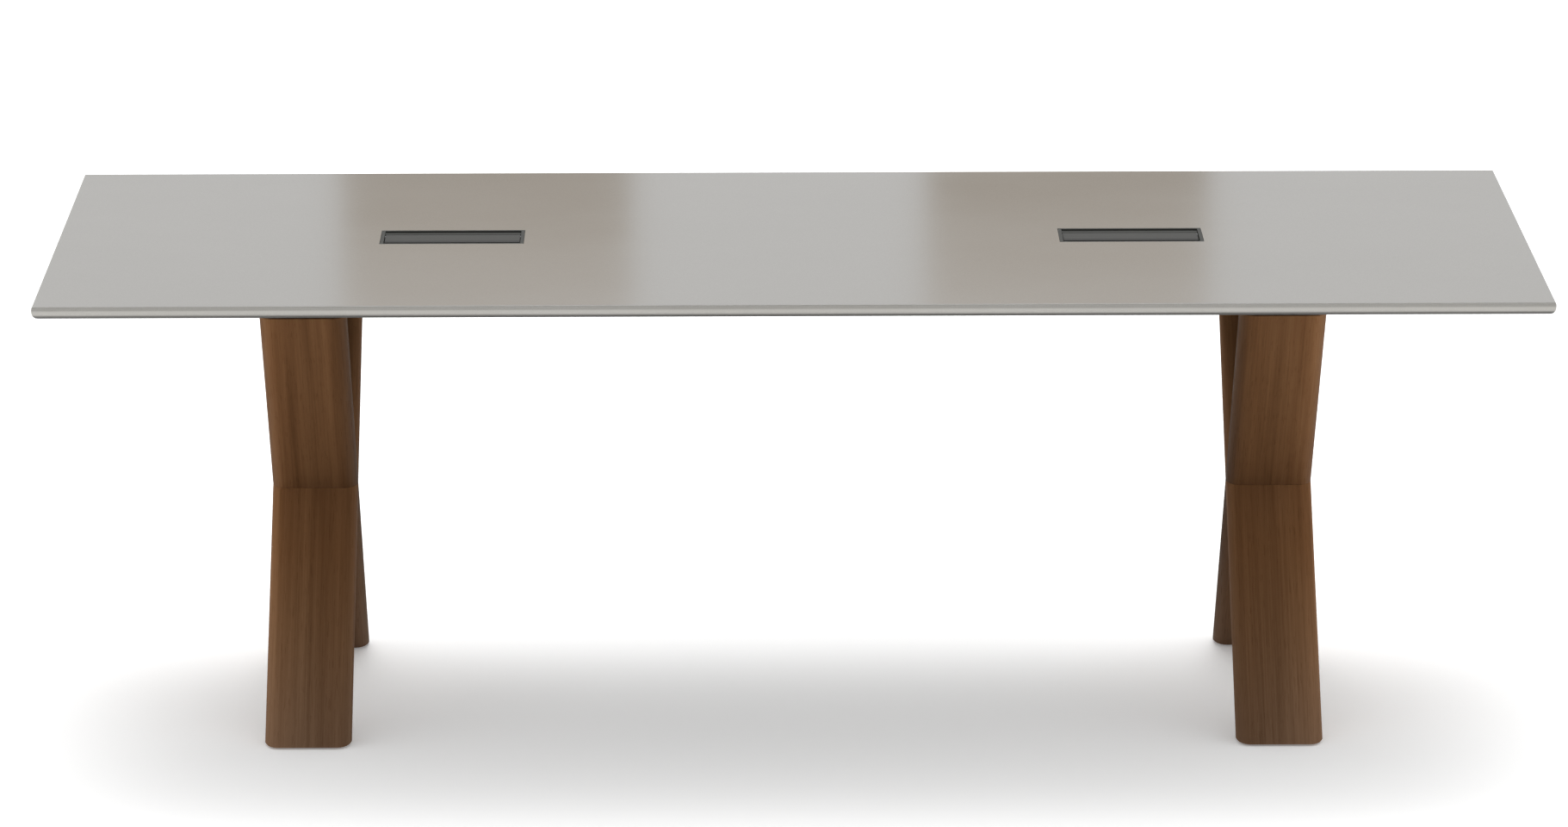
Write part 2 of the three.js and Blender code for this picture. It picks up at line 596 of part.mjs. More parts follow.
addTop();
for (const side of SIDES) {
  const portX = side.sign * PORT_CENTRE_X;
  addLeg(side);
  addBearer(side);
  addBearerScrews(side);
  addPortFrame(side.name, portX);
  addPortLid(side.name, portX);
  addPortTray(side.name, portX);
  for (const row of ROWS) {
    addGlide(side, row);
  }
}
for (const row of ROWS) {
  addRail(row);
}

export default table;
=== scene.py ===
# %% [markdown]
# A conference table: a pale lacquered top with a rounded edge and two cable ports, on two legs of crossed
# walnut beams. The solid model comes first and stays where it is. Each step then makes one piece or one
# finish as the eye sees it, and hangs it on the body of the solid model that carries it.

# %% Load the solid model
import json
import math

import bmesh
import bpy
import numpy as np
from mathutils import Matrix, Vector


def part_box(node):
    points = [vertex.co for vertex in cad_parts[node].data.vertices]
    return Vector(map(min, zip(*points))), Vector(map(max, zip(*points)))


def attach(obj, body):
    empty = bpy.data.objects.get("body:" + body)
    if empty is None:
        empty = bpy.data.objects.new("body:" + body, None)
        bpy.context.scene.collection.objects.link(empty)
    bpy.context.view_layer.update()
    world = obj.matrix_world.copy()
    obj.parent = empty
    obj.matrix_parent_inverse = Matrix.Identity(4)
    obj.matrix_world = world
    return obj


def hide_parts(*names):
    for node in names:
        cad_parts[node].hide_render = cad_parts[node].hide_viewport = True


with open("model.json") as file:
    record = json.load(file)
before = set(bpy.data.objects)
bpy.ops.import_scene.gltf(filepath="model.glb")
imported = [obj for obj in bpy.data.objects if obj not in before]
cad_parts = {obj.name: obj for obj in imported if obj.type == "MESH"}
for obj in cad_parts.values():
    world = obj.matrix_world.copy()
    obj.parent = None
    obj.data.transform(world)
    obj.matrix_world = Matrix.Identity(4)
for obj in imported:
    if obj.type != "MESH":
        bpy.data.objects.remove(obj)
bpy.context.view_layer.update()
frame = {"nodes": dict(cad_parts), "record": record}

nodes = frame["nodes"]

# %% [markdown]
# The camera comes before any piece, so that every later look is taken from the photograph's own viewpoint.
# The picture was taken from far off with a long lens, a little above the table, which keeps the legs nearly
# upright. A pitched camera with no lens shift stands for it, so that views from other sides stay centred.

# %% Place the camera
PHOTO_WIDTH_PX = 1821
FOCAL_LENGTH_PX = 10457
SENSOR_WIDTH_MM = 36.0
VIEW_REACH = 200.0
CAMERA_PLACE = (-0.090, -14.503, 3.436)
CAMERA_PITCH = math.radians(11.564)
CAMERA_YAW = math.radians(-0.304)
CAMERA_ROLL = math.radians(-0.126)


def camera_matrix(place, pitch, yaw, roll):
    """A camera that looks along +Y, turned by yaw, tipped down by pitch, then rolled about its view."""
    forward = Vector((-math.sin(yaw) * math.cos(pitch), math.cos(yaw) * math.cos(pitch), -math.sin(pitch)))
    right = Vector((math.cos(yaw), math.sin(yaw), 0.0))
    up = right.cross(forward)
    rolled_right = right * math.cos(roll) + up * math.sin(roll)
    rolled_up = up * math.cos(roll) - right * math.sin(roll)
    turn = Matrix((rolled_right, rolled_up, -forward)).transposed().to_4x4()
    return Matrix.Translation(place) @ turn


camera_data = bpy.data.cameras.new("camera")
camera_data.sensor_width = SENSOR_WIDTH_MM
camera_data.lens = FOCAL_LENGTH_PX / PHOTO_WIDTH_PX * SENSOR_WIDTH_MM
camera_data.clip_end = VIEW_REACH
camera = bpy.data.objects.new("camera", camera_data)
camera.matrix_world = camera_matrix(CAMERA_PLACE, CAMERA_PITCH, CAMERA_YAW, CAMERA_ROLL)
bpy.context.scene.collection.objects.link(camera)
bpy.context.scene.camera = camera
bpy.context.scene.view_settings.view_transform = "Standard"
print("lens", round(camera_data.lens, 1), "mm")

# %% [markdown]
# Finishes are written as sums. A Wire is one output of a shader node, and plus, minus, times, power, less
# and greater between wires and numbers add the Math nodes for it. Every other node comes from one helper,
# which sets the node's own settings first and then its sockets, so a finish reads as a short recipe.


# %% Shader wires
class Wire:
    """One output socket of a shader node; sums of wires and numbers become Math nodes."""

    def __init__(self, tree, socket):
        self.tree = tree
        self.socket = socket

    def maths(self, operation, first, second):
        return add_node(self.tree, "ShaderNodeMath", {"operation": operation}, {0: first, 1: second})

    def __add__(self, other):
        return self.maths("ADD", self, other)

    def __radd__(self, other):
        return self.maths("ADD", other, self)

    def __sub__(self, other):
        return self.maths("SUBTRACT", self, other)

    def __rsub__(self, other):
        return self.maths("SUBTRACT", other, self)

    def __mul__(self, other):
        return self.maths("MULTIPLY", self, other)

    def __rmul__(self, other):
        return self.maths("MULTIPLY", other, self)

    def __pow__(self, other):
        return self.maths("POWER", self, other)

    def __rpow__(self, other):
        return self.maths("POWER", other, self)

    def __lt__(self, other):
        return self.maths("LESS_THAN", self, other)

    def __gt__(self, other):
        return self.maths("GREATER_THAN", self, other)


def add_node(tree, kind, settings=None, inputs=None, output=0):
    """Adds one node: its settings first, then its sockets by name or number, and returns one output."""
    node = tree.nodes.new(kind)
    for key, value in (settings or {}).items():
        if key == "stops":
            set_stops(node.color_ramp, value)
        else:
            setattr(node, key, value)
    for key, value in (inputs or {}).items():
        if isinstance(value, Wire):
            tree.links.new(value.socket, node.inputs[key])
        else:
            node.inputs[key].default_value = value
    return Wire(tree, node.outputs[output])


def set_stops(colour_ramp, stops):
    """Gives a colour ramp these (place, colour) stops."""
    while len(colour_ramp.elements) < len(stops):
        colour_ramp.elements.new(1.0)
    for element, (place, colour) in zip(colour_ramp.elements, stops):
        element.position = place
        element.color = (*colour, 1.0)


def new_finish(name, constants, paint):
    """A material: constants go straight onto the shader, and paint gives its varying sockets as wires."""
    material = bpy.data.materials.new(name)
    material.use_nodes = True
    tree = material.node_tree
    shader = tree.nodes["Principled BSDF"]
    for key, value in constants.items():
        shader.inputs[key].default_value = value
    place = add_node(tree, "ShaderNodeTexCoord", output="Object")
    for key, wire in paint(tree, place).items():
        tree.links.new(wire.socket, shader.inputs[key])
    return material


# %% [markdown]
# A handful of patterns is enough for every finish here: smooth noise, noise stretched one way into streaks,
# a colour that follows a number, one tint laid over another, and small relief. Painted image maps could do
# the same, but these are worked out at every point, so they stay sharp from any distance and need no files.

# %% Patterns
DARK_STOP = 0.35
LIGHT_STOP = 0.65


def coordinate(tree, place, axis):
    """One coordinate, X, Y or Z, of a place."""
    return add_node(tree, "ShaderNodeSeparateXYZ", {}, {"Vector": place}, output=axis)


def stretched(tree, place, scale, turn=(0.0, 0.0, 0.0)):
    """The place turned, then scaled along each axis, so that a pattern can run long one way."""
    settings = {"vector_type": "POINT"}
    turned = add_node(tree, "ShaderNodeMapping", settings, {"Vector": place, "Rotation": turn})
    return add_node(tree, "ShaderNodeMapping", settings, {"Vector": turned, "Scale": scale})


def noise(tree, place, scale, detail=2.0, distortion=0.0):
    """Smooth noise from 0 to 1 about a half."""
    inputs = {"Vector": place, "Scale": scale, "Detail": detail, "Distortion": distortion}
    return add_node(tree, "ShaderNodeTexNoise", {}, inputs, output="Fac")


def ramp(tree, factor, stops):
    """A colour that follows the factor through the stops."""
    return add_node(tree, "ShaderNodeValToRGB", {"stops": stops}, {"Fac": factor}, output="Color")


def two_tone(tree, factor, dark, light):
    """A colour from dark to light over the middle of the factor's span, where most noise lies."""
    return ramp(tree, factor, [(DARK_STOP, dark), (LIGHT_STOP, light)])


def grey_stops(shares):
    """Ramp stops that hold one number in all three channels."""
    return [(spot, (share, share, share)) for spot, share in shares]


def tinted(tree, colour, tint):
    """A colour times a tint, channel by channel."""
    return add_node(tree, "ShaderNodeVectorMath", {"operation": "MULTIPLY"}, {0: colour, 1: tint})


def bump(tree, height, strength, distance):
    """A normal bent by a height field."""
    inputs = {"Height": height, "Strength": strength, "Distance": distance}
    return add_node(tree, "ShaderNodeBump", {}, inputs)


# %% [markdown]
# The top is board under a satin lacquer. Sprayed lacquer is never quite flat: it has a fine orange-peel
# ripple, a little cloudiness in its sheen and dust-fine specks in its colour. Noise at three scales gives
# these, with the broad one on roughness, where it shows as uneven gloss in a low reflection. The rounded edge
# is painted paler than the top, in bands of painted highlight, and it turns a darker grey low down and on the
# underside, which is also matt. The board is thin, so a tint that follows the height is enough to tell these
# apart.

# %% Lacquer of the top
LACQUER_DARK = (0.231, 0.224, 0.208)
LACQUER_LIGHT = (0.256, 0.248, 0.232)
LACQUER_IOR = 1.40
LACQUER_ROUGHNESS = 0.10
SHEEN_DRIFT = 0.04
CLOUD_SCALE = 3.5
CLOUD_DETAIL = 4.0
SPECK_SCALE = 700.0
SPECK_SHARE = 0.75
PEEL_SCALE = 260.0
PEEL_DETAIL = 3.0
PEEL_STRENGTH = 0.12
PEEL_HEIGHT = 0.00005
# Shares of the palest tone, which is a painted highlight on the edge, from the underside, at 0, up to the
# flat of the top, at 1, with darker shares low down
EDGE_HIGHLIGHT_STRENGTH = 1.75
EDGE_HIGHLIGHT_SHARES = [
    (0.00, 0.14),
    (0.16, 0.17),
    (0.24, 0.36),
    (0.36, 0.90),
    (0.50, 1.00),
    (0.64, 0.95),
    (0.72, 0.72),
    (0.92, 0.75),
    (1.00, 1.0 / EDGE_HIGHLIGHT_STRENGTH),
]
SEALED_LEVEL = 0.18
SEALED_ROUGHNESS = 0.35
top_low, top_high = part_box("table_top")


def lacquer_paint(tree, place):
    """Clouded, specked lacquer, with a painted highlight on the edge from a tint by the height in the board,
    darker and dulled low down: (z - low) / (high - low).
    """
    cloud = noise(tree, place, CLOUD_SCALE, CLOUD_DETAIL)
    speck = noise(tree, place, SPECK_SCALE)
    peel = noise(tree, place, PEEL_SCALE, PEEL_DETAIL)
    # The lacquer made paler for the painted highlight on the edge; the height tint brings the flat top back
    # to its own tone
    painted_highlight_tones = [tuple(EDGE_HIGHLIGHT_STRENGTH * value for value in colour) for colour in (LACQUER_DARK, LACQUER_LIGHT)]
    coat = two_tone(tree, cloud * (1.0 - SPECK_SHARE) + speck * SPECK_SHARE, *painted_highlight_tones)
    level = (coordinate(tree, place, "Z") - top_low.z) * (1.0 / (top_high.z - top_low.z))
    sealed = level < SEALED_LEVEL
    sheen = cloud * SHEEN_DRIFT + speck * SHEEN_DRIFT + sealed * SEALED_ROUGHNESS
    return {
        "Base Color": tinted(tree, coat, ramp(tree, level, grey_stops(EDGE_HIGHLIGHT_SHARES))),
        "Roughness": sheen + LACQUER_ROUGHNESS,
        "Normal": bump(tree, peel, PEEL_STRENGTH, PEEL_HEIGHT),
    }


lacquer = new_finish("lacquered_top", {"IOR": LACQUER_IOR}, lacquer_paint)
print("lacquer:", len(lacquer.node_tree.nodes), "nodes")

# %% [markdown]
# The beams all lean alike, half of them forwards and half back. Their grain and their shape both need the
# lean, so it is measured once, from the box of one beam of the solid model and the depth of its level cut.

# %% Measure the beams
BEAM_CUT_DEPTH = 0.090
foot_low, foot_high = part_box("left_leg_front_foot_beam")
beam_width = foot_high.x - foot_low.x
beam_spread = foot_high.y - BEAM_CUT_DEPTH / 2
waist_height = (foot_low.z + foot_high.z) / 2
beam_slope = beam_spread / (foot_high.z - waist_height)
beam_lean = math.atan(beam_slope)
print("beams lean", round(math.degrees(beam_lean), 1), "degrees")

# %% [markdown]
# Walnut is brown with darker, straight figure that runs along the beam, and open pores that read as short
# dark dashes. The beams slant both ways, so the place is first turned until its Z runs along the beam. Noise
# squeezed along that Z then stretches into streaks; pores also dent the surface and roughen it. Painted light
# and shade lie over the wood: one tint follows the beam's width, painted light on the outer side of the table
# and, on the rear-footed beams, painted shade on the inner side, and another follows its height, with the
# rear-footed beams painted darker than the front-footed ones. A third is a painted reflection of the bright
# floor, greying the wood towards the foot.

# %% Walnut of the beams
WALNUT_STOPS = [
    (0.28, (0.090, 0.0397, 0.0152)),
    (0.46, (0.133, 0.0621, 0.0260)),
    (0.60, (0.172, 0.0845, 0.0370)),
    (0.76, (0.221, 0.1190, 0.0569)),
]
WALNUT_GLOSS = {"IOR": 1.35, "Specular IOR Level": 0.04}
# Each layer of grain: its squeeze along the beam, its scale, its detail and its distortion
GRAIN_LAYERS = {
    "figure": (0.055, 17.0, 4.0, 0.9),
    "streak": (0.016, 75.0, 3.0, 0.3),
    "fibre": (0.010, 420.0, 2.0, 0.0),
    "pores": (0.045, 620.0, 1.0, 0.0),
}
PORE_LIMIT = 0.64
# What each layer adds to the tone, to the roughness and to the relief
FIGURE_TONE = 0.50
STREAK_TONE = 0.32
FIBRE_TONE = 0.22
PORE_TONE = 0.07
TONE_DROP = 0.02
WALNUT_ROUGHNESS = 0.58
FIBRE_ROUGHNESS = 0.16
PORE_ROUGHNESS = 0.12
FIBRE_RELIEF = 0.6
STREAK_RELIEF = 0.4
PORE_RELIEF = 0.8
RELIEF_STRENGTH = 0.22
RELIEF_HEIGHT = 0.00025
# Painted light and shade across the beam, from its inner side at 0 to its outer side at 1, and along it from
# the foot up
INNER_BLEND = 0.12
OUTER_SIDE_LIGHT = [(0.24, 1.00), (0.50, 0.95), (0.66, 1.05), (0.84, 1.26), (1.00, 1.36)]
# Painted light and shade of each row of beams: the rear-footed beams are painted darker, most at the waist
# and on the inner side
BEAM_PAINTED_LIGHT = {
    "front": {"inner": 1.00, "along": [(0.00, 1.03), (0.20, 1.08), (0.38, 1.11), (0.49, 1.15), (1.00, 1.18)]},
    "rear": {"inner": 0.70, "along": [(0.00, 0.92), (0.51, 0.71), (0.58, 0.75), (0.75, 0.80), (1.00, 0.84)]},
}
# Painted reflection of the bright floor: a bluish grey veil towards the foot
FOOT_FLOOR_REFLECTION = [(0.00, (1.00, 1.20, 1.62)), (0.22, (1.00, 1.08, 1.22)), (0.38, (1.00, 1.00, 1.00))]


def walnut_paint(lean, board):
    """Paint for a beam that leans by lean radians about X, with the grain along its length, under painted
    light and shade.
    """
    inner = board["inner"]
    # Painted light on the outer side of the table and, where the inner share is low, painted shade on the
    # inner side
    side_light_stops = [(0.00, inner), (INNER_BLEND, (inner + 1.0) / 2), *OUTER_SIDE_LIGHT]

    def paint(tree, place):
        grain = {}
        for layer, (squeeze, scale, detail, distortion) in GRAIN_LAYERS.items():
            along = stretched(tree, place, (1.0, 1.0, squeeze), (lean, 0.0, 0.0))
            grain[layer] = noise(tree, along, scale, detail, distortion)
        figure, streak, fibre = grain["figure"], grain["streak"], grain["fibre"]
        pore = grain["pores"] > PORE_LIMIT
        tone = figure * FIGURE_TONE + streak * STREAK_TONE + fibre * FIBRE_TONE - pore * PORE_TONE - TONE_DROP
        sideways = coordinate(tree, place, "X")
        outward = add_node(tree, "ShaderNodeMath", {"operation": "ABSOLUTE"}, {0: sideways})
        across = (outward + foot_high.x) * (1.0 / beam_width)
        level = coordinate(tree, place, "Z") * (1.0 / foot_high.z)
        side_light_tint = ramp(tree, across, grey_stops(side_light_stops))
        # Painted light and shade along the beam's height
        length_light_tint = ramp(tree, level, grey_stops(board["along"]))
        # The painted reflection of the bright floor greys the wood towards the foot
        tint = tinted(tree, tinted(tree, side_light_tint, length_light_tint), ramp(tree, level, FOOT_FLOOR_REFLECTION))
        relief = fibre * FIBRE_RELIEF + streak * STREAK_RELIEF - pore * PORE_RELIEF
        return {
            "Base Color": tinted(tree, ramp(tree, tone, WALNUT_STOPS), tint),
            "Roughness": fibre * FIBRE_ROUGHNESS + pore * PORE_ROUGHNESS + WALNUT_ROUGHNESS,
            "Normal": bump(tree, relief, RELIEF_STRENGTH, RELIEF_HEIGHT),
        }

    return paint


# Lit and shaded copies of one walnut: the front-footed beams painted lighter, the rear-footed ones darker
walnut = {
    "front": new_finish("walnut_front_foot_painted_light", WALNUT_GLOSS, walnut_paint(beam_lean, BEAM_PAINTED_LIGHT["front"])),
    "rear": new_finish("walnut_rear_foot_painted_shade", WALNUT_GLOSS, walnut_paint(-beam_lean, BEAM_PAINTED_LIGHT["rear"])),
}
print("walnut:", len(walnut["front"].node_tree.nodes), "nodes for each beam")

# %% [markdown]
# The small finishes share two recipes. Anodised aluminium and planed dowels are rubbed one way, so fine lines
# along X change colour, sheen and surface together. Powder coat, plating, brass and moulded nylon have an
# even grain instead, with broad patches of wear. Each recipe is a function that gives back a paint.

# %% Brushed and grainy recipes
ALONG_X = (0.02, 1.0, 1.0)
LINE_SCALE = 1500.0
LINE_DETAIL = 3.0
LINE_SHARE = 0.6
LINE_ROUGHNESS = 0.14
LINE_STRENGTH = 0.15
LINE_HEIGHT = 0.00003
SMEAR_SCALE = 14.0
SMEAR_DETAIL = 3.0
SMEAR_ROUGHNESS = 0.10
GRAIN_SHARE = 0.5
GRAIN_ROUGHNESS = 0.08
GRAIN_STRENGTH = 0.35
WEAR_SCALE = 25.0
WEAR_DETAIL = 4.0
WEAR_ROUGHNESS = 0.16


def brushed_paint(dark, light, rough):
    """Metal rubbed along X: fine lines change its colour, its sheen and its surface together."""

    def paint(tree, place):
        line = noise(tree, stretched(tree, place, ALONG_X), LINE_SCALE, LINE_DETAIL)
        smear = noise(tree, place, SMEAR_SCALE, SMEAR_DETAIL)
        return {
            "Base Color": two_tone(tree, line * LINE_SHARE + smear * (1.0 - LINE_SHARE), dark, light),
            "Roughness": line * LINE_ROUGHNESS + smear * SMEAR_ROUGHNESS + rough,
            "Normal": bump(tree, line, LINE_STRENGTH, LINE_HEIGHT),
        }

    return paint


def grainy_paint(dark, light, rough, scale, depth):
    """A finish with an even grain: powder coat, plate or moulded skin."""

    def paint(tree, place):
        grain = noise(tree, place, scale)
        wear = noise(tree, place, WEAR_SCALE, WEAR_DETAIL)
        return {
            "Base Color": two_tone(tree, grain * GRAIN_SHARE + wear * (1.0 - GRAIN_SHARE), dark, light),
            "Roughness": wear * WEAR_ROUGHNESS + grain * GRAIN_ROUGHNESS + rough,
            "Normal": bump(tree, grain, GRAIN_STRENGTH, depth),
        }

    return paint


print("recipes: brushed and grainy")

# %% [markdown]
# Each lid is brushed like its frame, a shade lighter, with a dark strip of painted shade along its front
# edge, which widens the shaded band at the front of the port. The strip is flush, so it is a change of tone
# and not a
# piece: the metal's own colour is scaled down wherever the place lies within the strip's width of the lid's
# front edge.

# %% Port frames and lids
FRAME_DARK = (0.027, 0.028, 0.025)
FRAME_LIGHT = (0.038, 0.039, 0.035)
LID_DARK = (0.032, 0.032, 0.030)
LID_LIGHT = (0.044, 0.044, 0.041)
PORT_ROUGHNESS = 0.48
PORT_GLOSS = {"Specular IOR Level": 0.15}
# Width and tone of the strip of painted shade along each lid's front edge
FRONT_SHADE_STRIP = 0.016
FRONT_SHADE_TONE = 0.36
lid_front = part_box("left_port_lid")[0].y


def lid_paint(tree, place):
    """The lids' brushed metal, with a strip of painted shade along the front edge."""
    sockets = brushed_paint(LID_DARK, LID_LIGHT, PORT_ROUGHNESS)(tree, place)
    # Painted shade: the colour is scaled down within the strip's width of the front edge
    behind = coordinate(tree, place, "Y") > lid_front + FRONT_SHADE_STRIP
    scaled = {0: sockets["Base Color"], "Scale": behind * (1.0 - FRONT_SHADE_TONE) + FRONT_SHADE_TONE}
    sockets["Base Color"] = add_node(tree, "ShaderNodeVectorMath", {"operation": "SCALE"}, scaled)
    return sockets


frame_paint = brushed_paint(FRAME_DARK, FRAME_LIGHT, PORT_ROUGHNESS)
frame_finish = new_finish("dark_aluminium", PORT_GLOSS, frame_paint)
lid_finish = new_finish("grey_aluminium", PORT_GLOSS, lid_paint)
print("lids: front edge at", round(lid_front, 4), "m")

# %% [markdown]
# The solid model names a material slot for every piece. One table gives each slot its finish: a sandy black
# powder coat on the hidden steel, zinc on the screws, brass in the feet, nylon pads and plain beech dowels.

# %% A finish for each slot
FINISH_OF_SLOT = {
    "lacquered_top": lacquer,
    "dark_aluminium": frame_finish,
    "grey_aluminium": lid_finish,
    "black_steel": new_finish(
        "black_powder_coat", {"Metallic": 0.0},
        grainy_paint((0.012, 0.012, 0.013), (0.024, 0.024, 0.026), 0.42, 1400.0, 0.00012)),
    "zinc_steel": new_finish(
        "zinc_plate", {"Metallic": 1.0},
        grainy_paint((0.36, 0.37, 0.39), (0.52, 0.53, 0.55), 0.24, 2200.0, 0.00003)),
    "brass": new_finish(
        "brass", {"Metallic": 1.0},
        grainy_paint((0.42, 0.26, 0.08), (0.56, 0.37, 0.13), 0.24, 1800.0, 0.00003)),
    "nylon": new_finish(
        "black_nylon", {"Metallic": 0.0},
        grainy_paint((0.010, 0.010, 0.009), (0.018, 0.018, 0.017), 0.46, 900.0, 0.00010)),
    "beech": new_finish(
        "beech", {"Metallic": 0.0},
        brushed_paint((0.44, 0.26, 0.12), (0.58, 0.37, 0.19), 0.50)),
}
record = frame["record"]
slot_of_node = {row["node"]: row["material_slot"] for row in record["subparts"]}
body_of_node = {node: body for body, group in record["behaviour"]["bodies"].items() for node in group}
print("finishes:", ", ".join(FINISH_OF_SLOT))

# %% [markdown]
# New shapes are stacks of rings: a closed outline is worked out as one array of points, and a formula moves
# and resizes it from level to level. Quads join each ring to the next, and one polygon closes each end. The
# same helper makes the top, the beams, the pads and the threaded stems.

# %% Rings into bodies
QUARTER_TURN = math.pi / 2
FULL_TURN = 2 * math.pi


def ring_mesh(name, rings):
    """A closed mesh through (levels, points, 3) rings, whose points run anticlockwise seen from +Z."""
    levels, count, _ = rings.shape
    here = np.arange(levels - 1)[:, None] * count + np.arange(count)
    beside = np.arange(levels - 1)[:, None] * count + (np.arange(count) + 1) % count
    quads = np.stack([here, beside, beside + count, here + count], axis=-1).reshape(-1, 4)
    ends = [list(range(count))[::-1], list(range((levels - 1) * count, levels * count))]
    mesh = bpy.data.meshes.new(name)
    mesh.from_pydata(rings.reshape(-1, 3).tolist(), [], quads.tolist() + ends)
    mesh.validate()
    return mesh


def arc(centre_x, centre_y, radius_x, radius_y, start, stop, steps):
    """Points (x, y) = centre + radius * (cos a, sin a) for a from start to stop."""
    angle = np.linspace(start, stop, steps + 1)
    return np.stack([centre_x + radius_x * np.cos(angle), centre_y + radius_y * np.sin(angle)], axis=1)


def at_height(outline, z):
    """An (n, 2) outline as an (n, 3) ring at height z."""
    return np.column_stack([outline, np.full(len(outline), z)])


# %% [markdown]
# A finished mesh takes the place of a node of the solid model and rides on that node's body. Holes and laps
# are carved as a joiner cuts them, by taking tool shapes away, and the exact solver keeps the cuts crisp.

# %% Carve and place
SMOOTH_ANGLE = math.radians(35.0)


def place_piece(name, mesh, material, node):
    """Puts a mesh into the scene in place of a node of the solid model, on the same body."""
    piece = bpy.data.objects.new(name, mesh)
    bpy.context.scene.collection.objects.link(piece)
    mesh.materials.clear()
    mesh.materials.append(material)
    mesh.shade_smooth()
    mesh.set_sharp_from_angle(angle=SMOOTH_ANGLE)
    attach(piece, body_of_node[node])
    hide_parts(node)
    return piece


def carved(mesh, cutters):
    """The mesh with the cutter meshes taken away from it."""
    body = bpy.data.objects.new("body", mesh)
    bpy.context.scene.collection.objects.link(body)
    tools = [bpy.data.objects.new("tool", cutter) for cutter in cutters]
    for tool in tools:
        bpy.context.scene.collection.objects.link(tool)
        modifier = body.modifiers.new("cut", "BOOLEAN")
        modifier.operation = "DIFFERENCE"
        modifier.solver = "EXACT"
        modifier.object = tool
    graph = bpy.context.evaluated_depsgraph_get()
    result = bpy.data.meshes.new_from_object(body.evaluated_get(graph))
    for spare in [body, *tools]:
        bpy.data.objects.remove(spare)
    return result


# %% [markdown]
# The top's edge has a nose, its widest line, a third of the way down. Above the nose a tight quarter ellipse
# turns into the flat surface, and below it a long one runs under, which makes the thick board look thin. A
# bevelled box can't have two unlike curves, so each level of the edge is a rounded rectangle drawn in by the
# ellipse. Two blocks then cut each port's stepped hole.

# %% The table top
NOSE_DROP = 0.007
UPPER_ROUND_INSET = 0.0026
LOWER_ROUND_INSET = 0.0115
UPPER_ROUND_STEPS = 10
LOWER_ROUND_STEPS = 14
TOP_CORNER_RADIUS = 0.004
TOP_LEAST_CORNER = 0.001
CORNER_STEPS = 6
FLAT_MARGIN = 0.003
PORT_LIP = 0.003
FIT_GAP = 0.0003
CUT_PAST = 0.002
nose_z = top_high.z - NOSE_DROP


def rounded_rectangle(half_length, half_depth, radius):
    """A rectangle whose corners are quarter circles, anticlockwise from the +X side."""
    x = half_length - radius
    y = half_depth - radius
    signs = [(1, 1), (-1, 1), (-1, -1), (1, -1)]
    corners = [
        arc(sx * x, sy * y, radius, radius, i * QUARTER_TURN, (i + 1) * QUARTER_TURN, CORNER_STEPS)
        for i, (sx, sy) in enumerate(signs)
    ]
    return np.concatenate(corners)


def top_ring(inset, z):
    """The top's outline drawn in by inset, with its corners that much tighter, at height z."""
    radius = max(TOP_CORNER_RADIUS - inset, TOP_LEAST_CORNER)
    return at_height(rounded_rectangle(top_high.x - inset, top_high.y - inset, radius), z)


def edge_ring(reach, rise, angle):
    """One ring of the edge, from the nose: inset = reach * (1 - cos angle), height = rise * sin angle."""
    return top_ring(reach * (1 - math.cos(angle)), nose_z + rise * math.sin(angle))


def top_rings():
    """Rings from the underside up: a flat margin, the lower ellipse, the upper one and another margin."""
    lower = np.linspace(QUARTER_TURN, 0.0, LOWER_ROUND_STEPS + 1)
    upper = np.linspace(0.0, QUARTER_TURN, UPPER_ROUND_STEPS + 1)[1:]
    rings = [top_ring(LOWER_ROUND_INSET + FLAT_MARGIN, top_low.z)]
    rings += [edge_ring(LOWER_ROUND_INSET, top_low.z - nose_z, angle) for angle in lower]
    rings += [edge_ring(UPPER_ROUND_INSET, NOSE_DROP, angle) for angle in upper]
    rings.append(top_ring(UPPER_ROUND_INSET + FLAT_MARGIN, top_high.z))
    return np.stack(rings)


def block_mesh(low, high):
    """A block between two corners, as two square rings."""
    outline = np.array([(low[0], low[1]), (high[0], low[1]), (high[0], high[1]), (low[0], high[1])])
    return ring_mesh("block", np.stack([at_height(outline, low[2]), at_height(outline, high[2])]))


def port_cutters(side):
    """The wide shallow step for the frame's lip and the through hole for its body."""
    low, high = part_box(f"{side}_port_frame")
    past = top_high.z + CUT_PAST
    step_low = (low.x - FIT_GAP, low.y - FIT_GAP, top_high.z - PORT_LIP)
    step_high = (high.x + FIT_GAP, high.y + FIT_GAP, past)
    hole_low = (low.x + PORT_LIP - FIT_GAP, low.y + PORT_LIP - FIT_GAP, top_low.z - CUT_PAST)
    hole_high = (high.x - PORT_LIP + FIT_GAP, high.y - PORT_LIP + FIT_GAP, past)
    return [block_mesh(step_low, step_high), block_mesh(hole_low, hole_high)]


top_mesh = carved(ring_mesh("table_top_board", top_rings()), port_cutters("left") + port_cutters("right"))
place_piece("top_board", top_mesh, lacquer, "table_top")
print("top:", len(top_mesh.polygons), "faces")

# %% [markdown]
# Each leg is two walnut beams halved into each other where they cross. A beam's level cut is a slab with
# elliptical ends, and sliding that cut sideways as it rises makes the slant. Its rims have a small chamfer.

# %% Shapes of the beams
BEAM_FLAT_WIDTH = 0.096
BEAM_END_STEPS = 28
RIM_CHAMFER = 0.0012


